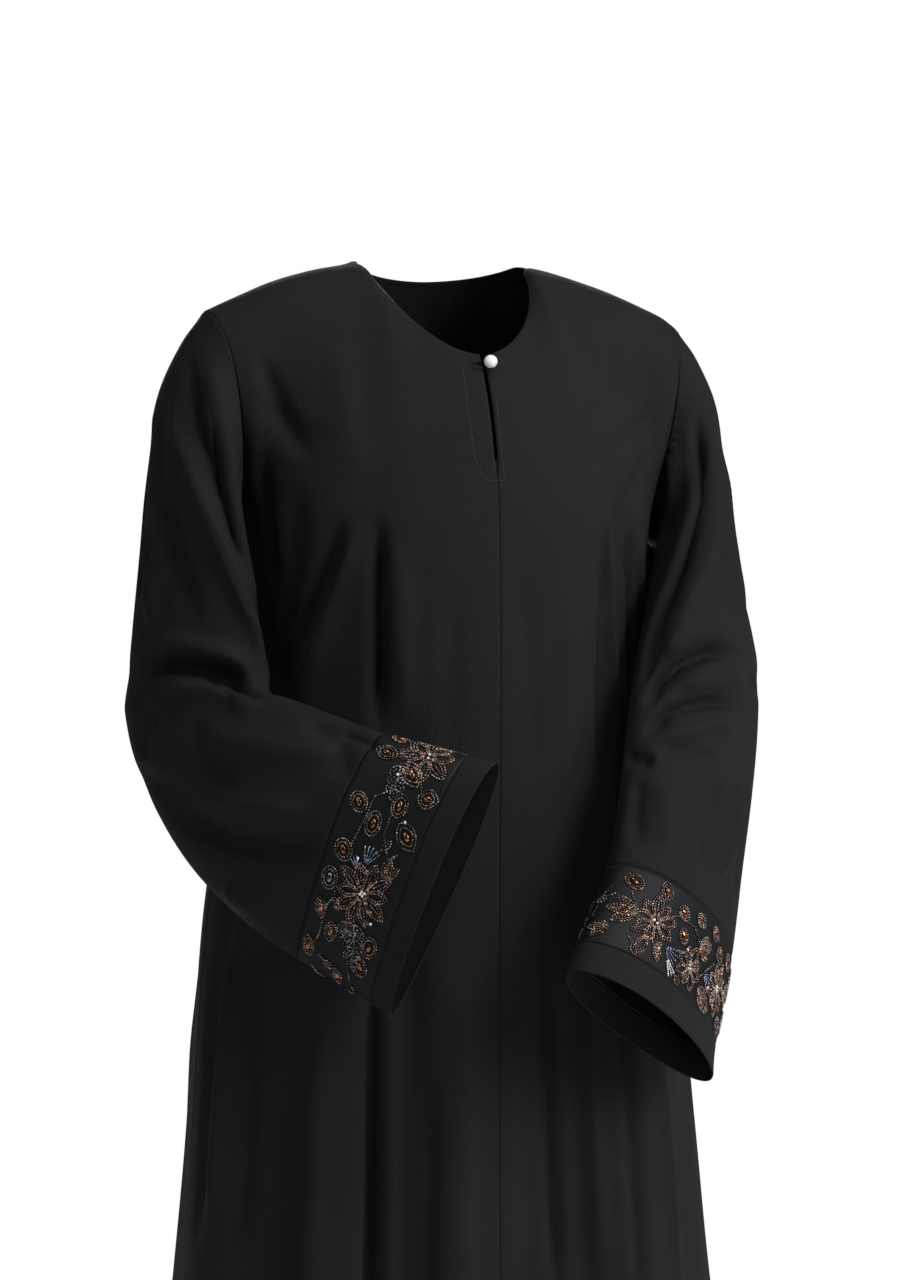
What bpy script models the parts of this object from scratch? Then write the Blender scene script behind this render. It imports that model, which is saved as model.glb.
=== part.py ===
# Abaya cloak, worn form: A-line body, set-in bell sleeves, banded cuffs, slit neck with a pearl.
# Metres, +Z up, front towards -Y. The origin lies between the shoulder-neck points.

from math import cos, exp, pi, radians, sin

import bmesh
import bpy
from mathutils import Vector

WALL = 0.0015             # cloth thickness
GAP = 0.0003              # clearance between neighbouring pieces
SHOULDER_GAP = 0.0018     # the walls lean together along the ridge of the shoulder
ARMHOLE_GAP = 0.0014      # the sleeve turns away from the body here, so its wall needs more

NECK_HALF = 0.075         # shoulder-neck point to the centre
NECK_FRONT = 0.105        # front neck point, forward of the origin
NECK_DROP = 0.090         # front neck point, below the origin
NECK_BACK = 0.055
NECK_BACK_DROP = 0.012
SHOULDER = Vector((0.220, -0.015, -0.048))   # shoulder tip, on the left side
SHOULDER_ROUND = 0.006    # how much the shoulder seam bows up
UNDERARM_Z = -0.240
HEM_Z = -1.400
SIDE_GAP_TURN = 0.14      # degrees each side of the side seam
ROUNDNESS = 2.3           # 2 gives an ellipse, more gives a squarer body section

SLIT_END_Z = -0.207
SLIT_HALF = 0.0015
FACING_SHARE = 0.87       # width of the facing each side, as a share of the fronts' first column
FACING_ROWS = 6           # rows of the fronts that the facing covers
PEARL_RADIUS = 0.00575
PEARL_X = 0.004
PEARL_Z = -0.100
LOOP_RADIUS = 0.0007

YOKE_ROWS = 8             # rows above the underarm
SKIRT_ROWS = 16           # rows below it
FRONT_COLUMNS = 15        # columns from the centre to the side
NECK_SHARE = 0.42         # share of the columns that end at the neck
SLEEVE_COLUMNS = 26

# Body sections: height, half width, depth in front, depth behind
BODY_SECTIONS = [
    (-0.24, 0.186, 0.150, 0.115),
    (-0.33, 0.176, 0.152, 0.112),
    (-0.43, 0.180, 0.152, 0.114),
    (-0.54, 0.203, 0.150, 0.128),
    (-0.71, 0.224, 0.150, 0.146),
    (-0.84, 0.237, 0.151, 0.158),
    (-1.12, 0.268, 0.166, 0.178),
    (-1.40, 0.300, 0.186, 0.200),
]

# Body folds: turn at the top and at the bottom (degrees from the front centre, + to the left side),
# top and bottom height, depth out (+) or in (-), half width in degrees
BODY_FOLDS = [
    (-30, -33, -0.24, -1.40, -0.018, 7),
    (-17, -19, -0.46, -1.40, 0.011, 9),
    (-39, -56, -0.22, -0.44, -0.008, 5),
    (-46, -50, -0.30, -1.40, 0.012, 9),
    (-60, -61, -0.55, -1.40, -0.012, 6),
    (-74, -71, -0.50, -1.40, 0.012, 7),
    (12, 16, -0.60, -1.40, -0.014, 6),
    (29, 30, -0.27, -1.40, -0.012, 6),
    (42, 43, -0.24, -1.40, 0.006, 7),
    (56, 46, -0.24, -0.66, -0.022, 20),
    (-58, -48, -0.28, -0.66, -0.008, 18),
    (92, 92, -0.24, -0.50, 0.022, 15),
    (92, 92, -0.30, -0.72, 0.008, 15),
    (-92, -92, -0.24, -0.70, 0.008, 20),
    (66, 68, -0.55, -1.40, -0.013, 7),
    (84, 86, -0.50, -1.40, 0.010, 8),
    (-98, -96, -0.55, -1.40, -0.012, 7),
    (104, 106, -0.50, -1.40, -0.012, 7),
    (-124, -121, -0.45, -1.40, 0.012, 9),
    (126, 124, -0.45, -1.40, 0.011, 9),
    (-148, -144, -0.33, -1.40, -0.016, 8),
    (150, 147, -0.36, -1.40, -0.015, 8),
    (-168, -167, -0.40, -1.40, 0.010, 8),
    (176, 174, -0.55, -1.40, -0.010, 7),
]

# Sleeve rings: front or upper line, back or lower line, half thickness,
# how much the outer side is raised, how much the lower end narrows
SLEEVE_RIGHT = [
    ((-0.213, -0.076, -0.188), (-0.231, 0.055, -0.188), 0.032, 0.060, 0.00),
    ((-0.203, -0.084, -0.268), (-0.246, 0.048, -0.268), 0.038, 0.022, 0.00),
    ((-0.191, -0.087, -0.335), (-0.260, 0.036, -0.342), 0.041, 0.000, 0.00),
    ((-0.187, -0.097, -0.376), (-0.273, 0.016, -0.408), 0.043, 0.000, 0.10),
    ((-0.180, -0.122, -0.381), (-0.265, -0.024, -0.466), 0.043, 0.000, 0.20),
    ((-0.165, -0.149, -0.388), (-0.246, -0.074, -0.522), 0.041, 0.000, 0.30),
    ((-0.144, -0.176, -0.398), (-0.212, -0.118, -0.565), 0.039, 0.000, 0.40),
    ((-0.122, -0.202, -0.409), (-0.175, -0.152, -0.596), 0.037, 0.000, 0.45),
    ((-0.063, -0.247, -0.428), (-0.125, -0.188, -0.629), 0.036, 0.000, 0.50),
    ((-0.043, -0.259, -0.432), (-0.114, -0.201, -0.641), 0.036, 0.000, 0.50),
]
SLEEVE_LEFT = [
    ((0.214, -0.080, -0.188), (0.234, 0.053, -0.188), 0.032, 0.060, 0.00),
    ((0.181, -0.106, -0.270), (0.254, 0.026, -0.265), 0.040, 0.022, 0.00),
    ((0.150, -0.128, -0.335), (0.276, -0.010, -0.330), 0.045, 0.000, 0.00),
    ((0.130, -0.146, -0.390), (0.279, -0.024, -0.392), 0.045, 0.000, 0.00),
    ((0.115, -0.170, -0.435), (0.264, -0.050, -0.468), 0.043, 0.000, 0.10),
    ((0.098, -0.196, -0.478), (0.238, -0.090, -0.545), 0.040, 0.000, 0.20),
    ((0.077, -0.222, -0.519), (0.213, -0.130, -0.616), 0.037, 0.000, 0.30),
    ((0.036, -0.252, -0.580), (0.186, -0.160, -0.683), 0.037, 0.000, 0.35),
    ((0.023, -0.261, -0.602), (0.180, -0.170, -0.709), 0.037, 0.000, 0.35),
]
INNER_FLATNESS = 0.8      # the side towards the body lies flatter
BAND_RINGS = 2            # the last two rings end the beaded band and the plain band

CLOTH = ("abaya_crepe", (0.018, 0.018, 0.020), 0.85, 0.0)
SHEER = ("cuff_band_satin", (0.055, 0.053, 0.055), 0.55, 0.0)
PEARL = ("pearl", (0.85, 0.82, 0.78), 0.25, 0.0)


def blend(start, end, share):
    return start + (end - start) * share


def soft_step(value):
    value = min(max(value, 0.0), 1.0)
    return value * value * (3 - 2 * value)


def spline(before, start, end, after, share):
    """Point between start and end on a Catmull-Rom curve."""
    square = share * share
    cube = square * share
    return ((start * 2) + (end - before) * share
            + (before * 2 - start * 5 + end * 4 - after) * square
            + (start * 3 - before - end * 3 + after) * cube) * 0.5


def hermite(start, end, leave, arrive, share):
    square = share * share
    cube = square * share
    return (start * (2 * cube - 3 * square + 1) + end * (3 * square - 2 * cube)
            + leave * (cube - 2 * square + share) + arrive * (cube - square))


def body_section(z):
    """Half width, front depth and back depth of the body at a height."""
    rows = BODY_SECTIONS
    index = 0
    while index < len(rows) - 2 and z < rows[index + 1][0]:
        index += 1
    picks = [rows[max(index - 1, 0)], rows[index], rows[index + 1], rows[min(index + 2, len(rows) - 1)]]
    share = (z - rows[index][0]) / (rows[index + 1][0] - rows[index][0])
    return [spline(*[pick[column] for pick in picks], share) for column in (1, 2, 3)]


def fold_depth(turn, z):
    total = 0.0
    for top_turn, bottom_turn, top, bottom, depth, half_width in BODY_FOLDS:
        along = (top - z) / (top - bottom)
        if along <= 0 or (bottom > HEM_Z and along >= 1):
            continue
        growth = soft_step(along / 0.35) * (0.75 + 0.55 * along)
        if bottom > HEM_Z:
            growth = sin(pi * along)
        away = (turn - blend(top_turn, bottom_turn, along) + 180) % 360 - 180
        total += depth * growth * exp(-(away / half_width) ** 2)
    return total


def body_point(turn, z):
    """Point on the outer body surface; turn in degrees from the front centre to the left side."""
    half_width, front, back = body_section(z)
    side = sin(radians(turn))
    ahead = cos(radians(turn))
    depth = front if ahead > 0 else back
    power = (abs(ahead) / depth) ** ROUNDNESS + (abs(side) / half_width) ** ROUNDNESS
    radius = power ** (-1 / ROUNDNESS) + fold_depth(turn, z)
    return Vector((radius * side, -radius * ahead, z))


def yoke_edge(share, facing):
    """Top edge of the left half: neck arc, then shoulder seam. Facing is 1 in front, -1 behind."""
    if share < NECK_SHARE:
        angle = 0.5 * pi * share / NECK_SHARE
        depth = -NECK_FRONT if facing > 0 else NECK_BACK
        drop = NECK_DROP if facing > 0 else NECK_BACK_DROP
        return Vector((NECK_HALF * sin(angle), depth * cos(angle) - facing * SHOULDER_GAP / 2,
                       -drop * cos(angle) ** 1.3))
    along = (share - NECK_SHARE) / (1 - NECK_SHARE)
    neck_point = Vector((NECK_HALF, 0, 0))
    point = blend(neck_point, SHOULDER, along)
    point.z += SHOULDER_ROUND * sin(pi * along)
    point.y -= facing * SHOULDER_GAP / 2
    return point


def yoke_slopes(share, facing):
    """Directions in which a column leaves the top edge and arrives at the underarm row."""
    at_neck = soft_step(1 - (share / NECK_SHARE) ** 2)
    at_armhole = soft_step((share - 0.72) / 0.28)
    if facing > 0:
        leave = blend(Vector((0, -0.235, -0.015)), Vector((0, -0.090, -0.130)), at_neck)
        arrive = blend(Vector((0, -0.020, -0.220)), Vector((0, -0.005, -0.150)), at_neck)
        leave = blend(leave, Vector((-0.050, -0.215, -0.060)), at_armhole)
        arrive = blend(arrive, Vector((-0.020, 0.200, -0.130)), at_armhole)
        return leave, arrive
    leave = blend(Vector((0, 0.170, -0.020)), Vector((0, 0.110, -0.090)), at_neck)
    arrive = blend(Vector((0, 0.000, -0.220)), Vector((0, 0.000, -0.210)), at_neck)
    leave = blend(leave, Vector((-0.020, 0.215, -0.060)), at_armhole)
    arrive = blend(arrive, Vector((-0.010, -0.230, -0.130)), at_armhole)
    return leave, arrive


def panel_point(side, facing, share, row):
    """Point of a panel: share 0 at its centre to 1 at the armhole or side seam, row from the top."""
    edge_turn = 90 - SIDE_GAP_TURN
    turn = side * (edge_turn * share if facing > 0 else 180 - edge_turn * share)
    if row > YOKE_ROWS:
        z = blend(UNDERARM_Z, HEM_Z, (row - YOKE_ROWS) / SKIRT_ROWS)
        return body_point(turn, z)
    low = body_point(turn, UNDERARM_Z)
    low.x *= side
    leave, arrive = yoke_slopes(share, facing)
    point = hermite(yoke_edge(share, facing), low, leave, arrive, row / YOKE_ROWS)
    point.x *= side
    return point


def front_point(side, share, row):
    point = panel_point(side, 1, share, row)
    opening = SLIT_HALF * soft_step((point.z - SLIT_END_Z) / 0.02)
    near_centre = 1 - soft_step(share / 0.2)
    point.x += side * (opening + GAP / 2) * near_centre
    return point


def halve(low, high, too_low):
    """Value between low and high where a test turns from true to false."""
    for _ in range(30):
        middle = (low + high) / 2
        if too_low(middle):
            low = middle
        else:
            high = middle
    return low


def on_front(x, z, lift):
    """Point lifted off the outer face of the fronts, over a given x and z above the underarm."""
    side = 1 if x >= 0 else -1

    def row_at(share):
        return halve(0, YOKE_ROWS, lambda row: panel_point(side, 1, share, row).z > z)

    share = halve(0, 0.5, lambda value: abs(panel_point(side, 1, value, row_at(value)).x) < abs(x))
    row = row_at(share)
    point = panel_point(side, 1, share, row)
    across = panel_point(side, 1, share + 0.02, row) - point
    down = panel_point(side, 1, share, row + 0.2) - point
    return point + across.cross(down).normalized() * lift * -side


def armhole_point(side, turn):
    """Point on the armhole: turn 0 at the shoulder tip, 0.25 in front, 0.5 at the underarm."""
    facing = 1 if turn <= 0.5 else -1
    row = YOKE_ROWS * 2 * (turn if facing > 0 else 1 - turn)
    point = panel_point(side, facing, 1, row)
    if row < 0.001:
        point.y = SHOULDER.y
    return point + Vector((side * ARMHOLE_GAP, 0, -GAP))


def ring_point(rings, side, index, turn):
    """Point on a sleeve ring: turn 0 at the outer side, 0.25 on the front or upper line."""
    front, back, half, lean, narrow = rings[index]
    front = Vector(front)
    back = Vector(back)
    before = rings[max(index - 1, 0)]
    after = rings[min(index + 1, len(rings) - 1)]
    path = (Vector(after[0]) + Vector(after[1])) - (Vector(before[0]) + Vector(before[1]))
    outward = path.cross(back - front).normalized() * side
    along = sin(2 * pi * turn)
    across = cos(2 * pi * turn)
    taper = 1 + narrow * 0.6 * along
    point = (front + back) / 2 + (front - back) / 2 * along
    point += outward * half * across * taper * (1 if across > 0 else INNER_FLATNESS)
    point.z += lean * across
    return point


def sleeve_point(rings, side, turn, position):
    """Point on the sleeve: position 0 at the armhole, then one for each ring of its table."""
    def key(number):
        if number <= 0:
            return armhole_point(side, turn)
        return ring_point(rings, side, min(number, len(rings)) - 1, turn)

    index = min(int(position), len(rings) - 1)
    start = key(index)
    end = key(index + 1)
    before = key(index - 1) if index > 0 else start * 2 - end
    after = key(index + 2) if index + 2 <= len(rings) else end * 2 - start
    return spline(before, start, end, after, position - index)


def clear_scene():
    for thing in list(bpy.data.objects):
        bpy.data.objects.remove(thing)


def make_material(spec):
    name, colour, roughness, metallic = spec
    material = bpy.data.materials.get(name)
    if material:
        return material
    material = bpy.data.materials.new(name)
    material.use_nodes = True
    shader = material.node_tree.nodes["Principled BSDF"]
    shader.inputs["Base Color"].default_value = (*colour, 1)
    shader.inputs["Roughness"].default_value = roughness
    shader.inputs["Metallic"].default_value = metallic
    return material


def add_object(name, mesh, spec, collection):
    piece = bpy.data.objects.new(name, mesh)
    collection.objects.link(piece)
    piece.data.materials.append(make_material(spec))
    mesh.shade_smooth()
    return piece


def add_cloth(name, columns, rows, place, collection, spec=CLOTH, tube=False, flip=False, keep=None):
    """Cloth panel: a grid whose points are placed by a function of (u, v), given a wall inwards."""
    grid = bmesh.new()
    bmesh.ops.create_grid(grid, x_segments=columns, y_segments=rows, size=0.5)
    if keep:
        gone = [face for face in grid.faces
                if not keep(face.calc_center_median().x + 0.5, face.calc_center_median().y + 0.5)]
        bmesh.ops.delete(grid, geom=gone, context="FACES")
    for vertex in grid.verts:
        vertex.co = place(vertex.co.x + 0.5, vertex.co.y + 0.5)
    if tube:
        bmesh.ops.remove_doubles(grid, verts=grid.verts, dist=0.00001)
    if flip:
        bmesh.ops.reverse_faces(grid, faces=grid.faces)
    mesh = bpy.data.meshes.new(name)
    grid.to_mesh(mesh)
    grid.free()
    piece = add_object(name, mesh, spec, collection)
    wall = piece.modifiers.new("wall", "SOLIDIFY")
    wall.thickness = WALL
    wall.offset = -1
    wall.use_even_offset = True
    return piece


def build_body(collection):
    rows = YOKE_ROWS + SKIRT_ROWS
    for name, side in (("front_right", -1), ("front_left", 1)):
        add_cloth(name, FRONT_COLUMNS, rows,
                  lambda u, v, side=side: front_point(side, u, v * rows), collection, flip=side > 0)

    def back_point(u, v):
        side = 1 if u >= 0.5 else -1
        return panel_point(side, -1, abs(2 * u - 1), v * rows)

    add_cloth("back", 2 * FRONT_COLUMNS, rows, back_point, collection)


def build_sleeve(word, side, rings, collection):
    last = len(rings)
    seam = last - BAND_RINGS
    steps = [0, 0.2, 0.45, 0.7] + [1 + 0.5 * step for step in range(2 * (seam - 1) + 1)]

    def sleeve(u, v):
        slot = v * (len(steps) - 1)
        index = min(int(slot + 0.0001), len(steps) - 2)
        position = blend(steps[index], steps[index + 1], slot - index)
        return sleeve_point(rings, side, u, position)

    flip = side > 0
    add_cloth(f"sleeve_{word}", SLEEVE_COLUMNS, len(steps) - 1, sleeve, collection, tube=True, flip=flip)
    depth = (Vector(rings[-3][0]) - Vector(rings[-2][0])).length
    gap = GAP / depth
    add_cloth(f"cuff_band_{word}", SLEEVE_COLUMNS, 3,
              lambda u, v: sleeve_point(rings, side, u, blend(seam + 1.5 * gap, seam + 1, v)),
              collection, SHEER, tube=True, flip=flip)
    depth = (Vector(rings[-2][0]) - Vector(rings[-1][0])).length
    gap = GAP / depth
    add_cloth(f"cuff_hem_{word}", SLEEVE_COLUMNS, 2,
              lambda u, v: sleeve_point(rings, side, u, blend(seam + 1 + 1.5 * gap, seam + 2, v)),
              collection, tube=True, flip=flip)


def build_facing(collection):
    """U-shaped facing, made from the points of the fronts' first column moved in."""
    columns = [-FACING_SHARE, -0.45, -0.09, 0.09, 0.45, FACING_SHARE]

    def place(u, v):
        column = columns[round(u * (len(columns) - 1))]
        side = 1 if column > 0 else -1
        row = round(v * FACING_ROWS)
        centre = front_point(side, 0, row)
        beside = front_point(side, 1 / FRONT_COLUMNS, row)
        down = front_point(side, 0, row + 1) - front_point(side, 0, max(row - 1, 0))
        inward = (beside - centre).cross(down).normalized() * side
        return blend(centre, beside, abs(column)) + inward * (WALL + GAP)

    slot_end = (FACING_ROWS - 1) / FACING_ROWS
    add_cloth("slit_facing", len(columns) - 1, FACING_ROWS, place, collection, flip=True,
              keep=lambda u, v: abs(u - 0.5) > 0.1 or v > slot_end)


def build_button(collection):
    ball = bmesh.new()
    bmesh.ops.create_uvsphere(ball, u_segments=20, v_segments=12, radius=PEARL_RADIUS)
    mesh = bpy.data.meshes.new("button")
    ball.to_mesh(mesh)
    ball.free()
    pearl = add_object("button", mesh, PEARL, collection)
    pearl.location = on_front(PEARL_X, PEARL_Z, PEARL_RADIUS + 0.0006)


def build_loop(collection):
    curve = bpy.data.curves.new("button_loop", "CURVE")
    curve.dimensions = "3D"
    curve.bevel_depth = LOOP_RADIUS
    curve.bevel_resolution = 1
    curve.use_fill_caps = True
    ring = PEARL_RADIUS - 0.0006
    root = -0.0115
    turns = [135, 100, 65, 32, 0, -32, -65, -100, -135]
    offsets = [(root, 0.0024)]
    offsets += [(PEARL_X + ring * cos(radians(turn)), ring * sin(radians(turn))) for turn in turns]
    offsets += [(root, -0.0024)]
    path = curve.splines.new("POLY")
    path.points.add(len(offsets) - 1)
    for place, (x, rise) in zip(path.points, offsets):
        place.co = (*on_front(x, PEARL_Z + rise * 0.88, LOOP_RADIUS + 0.0005), 1)
    loop = bpy.data.objects.new("button_loop", curve)
    loop.data.materials.append(make_material(CLOTH))
    collection.objects.link(loop)


def main():
    clear_scene()
    collection = bpy.data.collections.new("abaya_cloak")
    bpy.context.scene.collection.children.link(collection)
    build_body(collection)
    build_sleeve("right", -1, SLEEVE_RIGHT, collection)
    build_sleeve("left", 1, SLEEVE_LEFT, collection)
    build_facing(collection)
    build_button(collection)
    build_loop(collection)


main()
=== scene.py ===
from itertools import chain
from math import atan2, cos, exp, hypot, pi, radians, sin

import bmesh
import bpy
from mathutils import Matrix, Vector, noise
from mathutils.bvhtree import BVHTree
from mathutils.kdtree import KDTree


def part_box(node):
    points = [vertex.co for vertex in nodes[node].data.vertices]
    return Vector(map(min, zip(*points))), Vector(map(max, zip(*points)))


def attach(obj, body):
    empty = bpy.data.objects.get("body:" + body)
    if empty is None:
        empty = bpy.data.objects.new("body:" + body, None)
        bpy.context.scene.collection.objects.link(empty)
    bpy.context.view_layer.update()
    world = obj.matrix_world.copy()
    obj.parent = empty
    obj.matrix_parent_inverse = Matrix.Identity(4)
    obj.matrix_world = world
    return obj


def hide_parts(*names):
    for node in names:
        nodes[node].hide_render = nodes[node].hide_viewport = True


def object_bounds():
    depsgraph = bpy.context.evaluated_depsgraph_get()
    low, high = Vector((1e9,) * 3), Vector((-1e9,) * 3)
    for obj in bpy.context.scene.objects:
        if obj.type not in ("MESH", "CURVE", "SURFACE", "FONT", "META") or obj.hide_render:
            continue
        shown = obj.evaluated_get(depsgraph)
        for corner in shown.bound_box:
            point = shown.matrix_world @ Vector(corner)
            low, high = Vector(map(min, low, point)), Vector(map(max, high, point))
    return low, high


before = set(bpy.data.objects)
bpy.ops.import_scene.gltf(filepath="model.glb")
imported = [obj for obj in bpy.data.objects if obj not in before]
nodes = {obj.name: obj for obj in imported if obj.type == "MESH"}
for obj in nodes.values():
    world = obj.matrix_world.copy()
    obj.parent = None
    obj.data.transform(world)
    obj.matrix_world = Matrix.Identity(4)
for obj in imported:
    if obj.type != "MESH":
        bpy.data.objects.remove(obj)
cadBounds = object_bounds()

# Camera: metres, degrees, millimetres for lens and sensor, and the picture's size in pixels
view = {"turn": -20, "away": 3.0, "height": -0.333, "aside": 0.0114, "lens": 95.85, "sensor": 36,
        "wide": 904, "tall": 1280}


def addObject(name, data):
    thing = bpy.data.objects.new(name, data)
    bpy.context.scene.collection.objects.link(thing)
    return thing


def shapeFrom(mesh):
    shape = bmesh.new()
    shape.from_mesh(mesh)
    return shape


def meshFrom(shape, name):
    mesh = bpy.data.meshes.new(name)
    shape.to_mesh(mesh)
    shape.free()
    return mesh


def viewAxes(turn):
    ahead = Vector((-sin(radians(turn)), cos(radians(turn)), 0))
    right = Vector((cos(radians(turn)), sin(radians(turn)), 0))
    return ahead, right


def eyePoint(turn):
    ahead, right = viewAxes(turn)
    return ahead * -view["away"] + right * view["aside"] + Vector((0, 0, view["height"]))


def addCamera():
    data = bpy.data.cameras.new("camera")
    data.lens = view["lens"]
    data.sensor_width = view["sensor"]
    camera = addObject("camera", data)
    camera.location = eyePoint(view["turn"])
    camera.rotation_euler = (radians(90), 0, radians(view["turn"]))
    bpy.context.scene.camera = camera


def castPixel(tree, px, py, turn):
    # where a ray through a point of the picture meets the cloth; turn picks the side it is seen from
    ahead, right = viewAxes(turn)
    focal = view["lens"] / view["sensor"] * view["tall"]
    across = (px - view["wide"] / 2) / focal
    down = (py - view["tall"] / 2) / focal
    ray = ahead + right * across - Vector((0, 0, down))
    place, normal, _, _ = tree.ray_cast(eyePoint(turn), ray.normalized())
    return place, normal


addCamera()
print("camera placed")


# Materials

def newMaterial(name):
    material = bpy.data.materials.new(name)
    material.use_nodes = True
    tree = material.node_tree
    return material, tree, tree.nodes["Principled BSDF"]


def setSockets(shader, values):
    for name, value in values.items():
        shader.inputs[name].default_value = value


def makeGroup(name, inputs, outputs):
    group = bpy.data.node_groups.new(name, "ShaderNodeTree")
    for label, value in inputs.items():
        kind = "NodeSocketFloat" if isinstance(value, float) else "NodeSocketColor"
        group.interface.new_socket(name=label, in_out="INPUT", socket_type=kind).default_value = value
    for label, kind in outputs.items():
        group.interface.new_socket(name=label, in_out="OUTPUT", socket_type="NodeSocket" + kind)
    start = group.nodes.new("NodeGroupInput")
    end = group.nodes.new("NodeGroupOutput")
    return group, start, end


def mathNode(tree, operation, first, second):
    node = tree.nodes.new("ShaderNodeMath")
    node.operation = operation
    for socket, value in zip(node.inputs, (first, second)):
        if isinstance(value, (int, float)):
            socket.default_value = value
        else:
            tree.links.new(value, socket)
    return node.outputs[0]


def mixColours(tree, share, low, high):
    # a Mix node for colours takes them at sockets 6 and 7 and gives the result at 2
    mix = tree.nodes.new("ShaderNodeMix")
    mix.data_type = "RGBA"
    tree.links.new(share, mix.inputs["Factor"])
    tree.links.new(low, mix.inputs[6])
    tree.links.new(high, mix.inputs[7])
    return mix.outputs[2]


def makeClothGrain():
    # crepe or satin: a pebbled grain, fine crossing threads, and soft uneven shade
    group, start, end = makeGroup(
        "clothGrain",
        {"Grain Scale": 900.0, "Thread Scale": 1400.0, "Thread Share": 0.4,
         "Shade Low": (0.010, 0.010, 0.011, 1), "Shade High": (0.022, 0.022, 0.024, 1),
         "Rough Low": 0.7, "Rough High": 0.9},
        {"Colour": "Color", "Roughness": "Float", "Height": "Float"})
    links = group.links
    place = group.nodes.new("ShaderNodeTexCoord").outputs["Object"]
    pebble = group.nodes.new("ShaderNodeTexNoise")
    setSockets(pebble, {"Detail": 3, "Distortion": 0.6})
    links.new(place, pebble.inputs["Vector"])
    links.new(start.outputs["Grain Scale"], pebble.inputs["Scale"])
    threads = []
    for direction in ("X", "Z"):
        wave = group.nodes.new("ShaderNodeTexWave")
        wave.bands_direction = direction
        setSockets(wave, {"Distortion": 1.6, "Detail": 1})
        links.new(place, wave.inputs["Vector"])
        links.new(start.outputs["Thread Scale"], wave.inputs["Scale"])
        threads.append(wave.outputs["Fac"])
    crossing = mathNode(group, "MULTIPLY", threads[0], threads[1])
    height = mathNode(group, "ADD", pebble.outputs["Fac"],
                      mathNode(group, "MULTIPLY", crossing, start.outputs["Thread Share"]))
    links.new(height, end.inputs["Height"])
    patch = group.nodes.new("ShaderNodeTexNoise")
    setSockets(patch, {"Scale": 14, "Detail": 4})
    links.new(place, patch.inputs["Vector"])
    blotch = mathNode(group, "ADD", mathNode(group, "MULTIPLY", patch.outputs["Fac"], 0.55),
                      mathNode(group, "MULTIPLY", pebble.outputs["Fac"], 0.45))
    shade = mixColours(group, blotch, start.outputs["Shade Low"], start.outputs["Shade High"])
    links.new(shade, end.inputs["Colour"])
    rough = group.nodes.new("ShaderNodeMapRange")
    links.new(blotch, rough.inputs["Value"])
    links.new(start.outputs["Rough Low"], rough.inputs["To Min"])
    links.new(start.outputs["Rough High"], rough.inputs["To Max"])
    links.new(rough.outputs["Result"], end.inputs["Roughness"])
    return group


clothGrain = makeClothGrain()

crepe = {
    "grain": {"Grain Scale": 480.0, "Thread Scale": 420.0, "Thread Share": 0.5,
              "Shade Low": (0.0020, 0.0020, 0.0021, 1), "Shade High": (0.0102, 0.0101, 0.0103, 1),
              "Rough Low": 0.58, "Rough High": 0.76},
    "sockets": {"Sheen Weight": 0.02, "Sheen Roughness": 0.40, "Sheen Tint": (0.75, 0.75, 0.78, 1),
                "Specular IOR Level": 0.13},
    "bump": 0.70, "bumpDistance": 0.0010,
}
satin = {
    "grain": {"Grain Scale": 500.0, "Thread Scale": 620.0, "Thread Share": 0.9,
              "Shade Low": (0.0008, 0.0009, 0.0011, 1), "Shade High": (0.0062, 0.0065, 0.0074, 1),
              "Rough Low": 0.46, "Rough High": 0.62},
    "sockets": {"Sheen Weight": 0.02, "Sheen Roughness": 0.35, "Sheen Tint": (0.80, 0.82, 0.88, 1),
                "Specular IOR Level": 0.14},
    "bump": 0.30, "bumpDistance": 0.0003,
}
thread = {
    "grain": {"Grain Scale": 1500.0, "Thread Scale": 1500.0, "Thread Share": 1.0,
              "Shade Low": (0.016, 0.016, 0.017, 1), "Shade High": (0.055, 0.055, 0.057, 1),
              "Rough Low": 0.45, "Rough High": 0.65},
    "sockets": {"Specular IOR Level": 0.5},
    "bump": 0.4, "bumpDistance": 0.0002,
}
cordFinish = {
    "grain": {"Grain Scale": 1500.0, "Thread Scale": 1100.0, "Thread Share": 1.2,
              "Shade Low": (0.004, 0.004, 0.004, 1), "Shade High": (0.018, 0.018, 0.019, 1),
              "Rough Low": 0.5, "Rough High": 0.7},
    "sockets": {"Specular IOR Level": 0.3},
    "bump": 0.5, "bumpDistance": 0.0002,
}


def clothMaterial(name, finish):
    material, tree, shader = newMaterial(name)
    setSockets(shader, finish["sockets"])
    grain = tree.nodes.new("ShaderNodeGroup")
    grain.node_tree = clothGrain
    setSockets(grain, finish["grain"])
    bump = tree.nodes.new("ShaderNodeBump")
    setSockets(bump, {"Strength": finish["bump"], "Distance": finish["bumpDistance"]})
    tree.links.new(grain.outputs["Colour"], shader.inputs["Base Color"])
    tree.links.new(grain.outputs["Roughness"], shader.inputs["Roughness"])
    tree.links.new(grain.outputs["Height"], bump.inputs["Height"])
    tree.links.new(bump.outputs["Normal"], shader.inputs["Normal"])
    return material


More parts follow.
